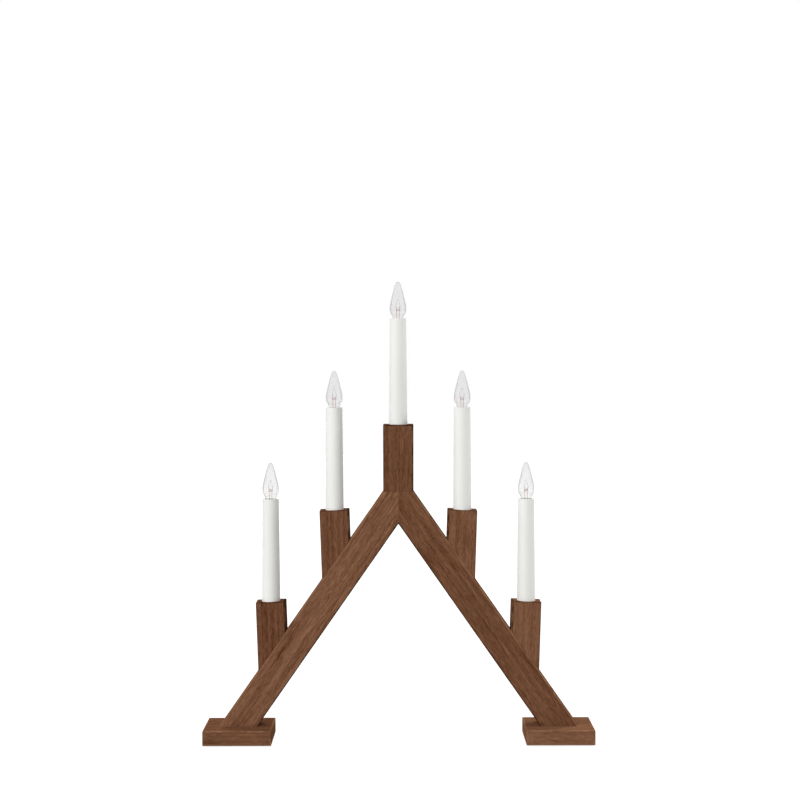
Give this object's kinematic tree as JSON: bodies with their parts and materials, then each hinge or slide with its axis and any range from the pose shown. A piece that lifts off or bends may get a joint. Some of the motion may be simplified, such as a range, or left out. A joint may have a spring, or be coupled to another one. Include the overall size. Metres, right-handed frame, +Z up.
{
  "type": "candle arch",
  "caption": "Free-standing wooden candle arch: sloping arms mitred at the apex stand on flat feet and carry posts with white candle sleeves and clear screw-in lamps.",
  "frame": {"origin": "middle of the arch at the level it stands on, under the centre post", "axes": "+Z up, +X across the arch to its right, -Y out of its front"},
  "size_m": [0.365, 0.055, 0.4319],
  "materials": {
    "stained_wood": "walnut-brown stain, matt, open grain",
    "candle_plastic": "matt off-white",
    "holder_plastic": "matt cream",
    "contact_brass": "bright rolled sheet",
    "lamp_cap_metal": "nickel plated, satin",
    "end_contact_metal": "solder on a dark insulator",
    "lamp_glass": "clear",
    "filament_metal": "drawn wire",
    "keeper_plastic": "translucent white",
    "wire_insulation": "white, satin",
    "gland_plastic": "brown",
    "felt": "pressed wool felt",
    "beech": "bare turned beech",
    "screw_steel": "zinc plated"
  },
  "bodies": {
    "root": {"arm_left": "stained_wood", "arm_right": "stained_wood", "cable_gland": "gland_plastic", "centre_contact_centre": "contact_brass", "centre_contact_left_inner": "contact_brass", "centre_contact_left_outer": "contact_brass", "centre_contact_right_inner": "contact_brass", "centre_contact_right_outer": "contact_brass", "contact_shell_centre": "contact_brass", "contact_shell_left_inner": "contact_brass", "contact_shell_left_outer": "contact_brass", "contact_shell_right_inner": "contact_brass", "contact_shell_right_outer": "contact_brass", "dowel_pins": "beech", "felt_pads": "felt", "foot_left": "stained_wood", "foot_right": "stained_wood", "foot_screws": "screw_steel", "lampholder_centre": "holder_plastic", "lampholder_left_inner": "holder_plastic", "lampholder_left_outer": "holder_plastic", "lampholder_right_inner": "holder_plastic", "lampholder_right_outer": "holder_plastic", "post_centre": "stained_wood", "post_left_inner": "stained_wood", "post_left_outer": "stained_wood", "post_right_inner": "stained_wood", "post_right_outer": "stained_wood", "sleeve_centre": "candle_plastic", "sleeve_left_inner": "candle_plastic", "sleeve_left_outer": "candle_plastic", "sleeve_right_inner": "candle_plastic", "sleeve_right_outer": "candle_plastic", "wire_centre_to_right_inner": "wire_insulation", "wire_keepers": "keeper_plastic", "wire_lead_in": "wire_insulation", "wire_left_inner_to_centre": "wire_insulation", "wire_left_outer_to_left_inner": "wire_insulation", "wire_return": "wire_insulation", "wire_right_inner_to_right_outer": "wire_insulation"},
    "lamp_end_left_outer": {"lamp_contact_left_outer": "end_contact_metal"},
    "lamp_left_outer": {"lamp_glass_left_outer": "lamp_glass", "lamp_cap_left_outer": "lamp_cap_metal", "lamp_filament_left_outer": "filament_metal"},
    "lamp_end_left_inner": {"lamp_contact_left_inner": "end_contact_metal"},
    "lamp_left_inner": {"lamp_glass_left_inner": "lamp_glass", "lamp_cap_left_inner": "lamp_cap_metal", "lamp_filament_left_inner": "filament_metal"},
    "lamp_end_centre": {"lamp_contact_centre": "end_contact_metal"},
    "lamp_centre": {"lamp_glass_centre": "lamp_glass", "lamp_cap_centre": "lamp_cap_metal", "lamp_filament_centre": "filament_metal"},
    "lamp_end_right_inner": {"lamp_contact_right_inner": "end_contact_metal"},
    "lamp_right_inner": {"lamp_glass_right_inner": "lamp_glass", "lamp_cap_right_inner": "lamp_cap_metal", "lamp_filament_right_inner": "filament_metal"},
    "lamp_end_right_outer": {"lamp_contact_right_outer": "end_contact_metal"},
    "lamp_right_outer": {"lamp_glass_right_outer": "lamp_glass", "lamp_cap_right_outer": "lamp_cap_metal", "lamp_filament_right_outer": "filament_metal"}
  },
  "joints": [
    {"name": "lift_left_outer", "type": "slide", "parent": "root", "child": "lamp_end_left_outer", "axis": [0, 0, 1], "range_m": [0, 0.0091]},
    {"name": "unscrew_left_outer", "type": "hinge", "parent": "lamp_end_left_outer", "child": "lamp_left_outer", "pos_m": [-0.12, 0, 0.22848], "axis": [0, 0, 1], "range_deg": [0, 1800]},
    {"name": "lift_left_inner", "type": "slide", "parent": "root", "child": "lamp_end_left_inner", "axis": [0, 0, 1], "range_m": [0, 0.0091]},
    {"name": "unscrew_left_inner", "type": "hinge", "parent": "lamp_end_left_inner", "child": "lamp_left_inner", "pos_m": [-0.06, 0, 0.31449], "axis": [0, 0, 1], "range_deg": [0, 1800]},
    {"name": "lift_centre", "type": "slide", "parent": "root", "child": "lamp_end_centre", "axis": [0, 0, 1], "range_m": [0, 0.0091]},
    {"name": "unscrew_centre", "type": "hinge", "parent": "lamp_end_centre", "child": "lamp_centre", "pos_m": [0, 0, 0.39771], "axis": [0, 0, 1], "range_deg": [0, 1800]},
    {"name": "lift_right_inner", "type": "slide", "parent": "root", "child": "lamp_end_right_inner", "axis": [0, 0, 1], "range_m": [0, 0.0091]},
    {"name": "unscrew_right_inner", "type": "hinge", "parent": "lamp_end_right_inner", "child": "lamp_right_inner", "pos_m": [0.06, 0, 0.31449], "axis": [0, 0, 1], "range_deg": [0, 1800]},
    {"name": "lift_right_outer", "type": "slide", "parent": "root", "child": "lamp_end_right_outer", "axis": [0, 0, 1], "range_m": [0, 0.0091]},
    {"name": "unscrew_right_outer", "type": "hinge", "parent": "lamp_end_right_outer", "child": "lamp_right_outer", "pos_m": [0.12, 0, 0.22848], "axis": [0, 0, 1], "range_deg": [0, 1800]}
  ],
  "couplings": [
    {"joint": "lift_left_outer", "follows": "unscrew_left_outer", "m_per_rad": 0.00028871},
    {"joint": "lift_left_inner", "follows": "unscrew_left_inner", "m_per_rad": 0.00028871},
    {"joint": "lift_centre", "follows": "unscrew_centre", "m_per_rad": 0.00028871},
    {"joint": "lift_right_inner", "follows": "unscrew_right_inner", "m_per_rad": 0.00028871},
    {"joint": "lift_right_outer", "follows": "unscrew_right_outer", "m_per_rad": 0.00028871}
  ]
}
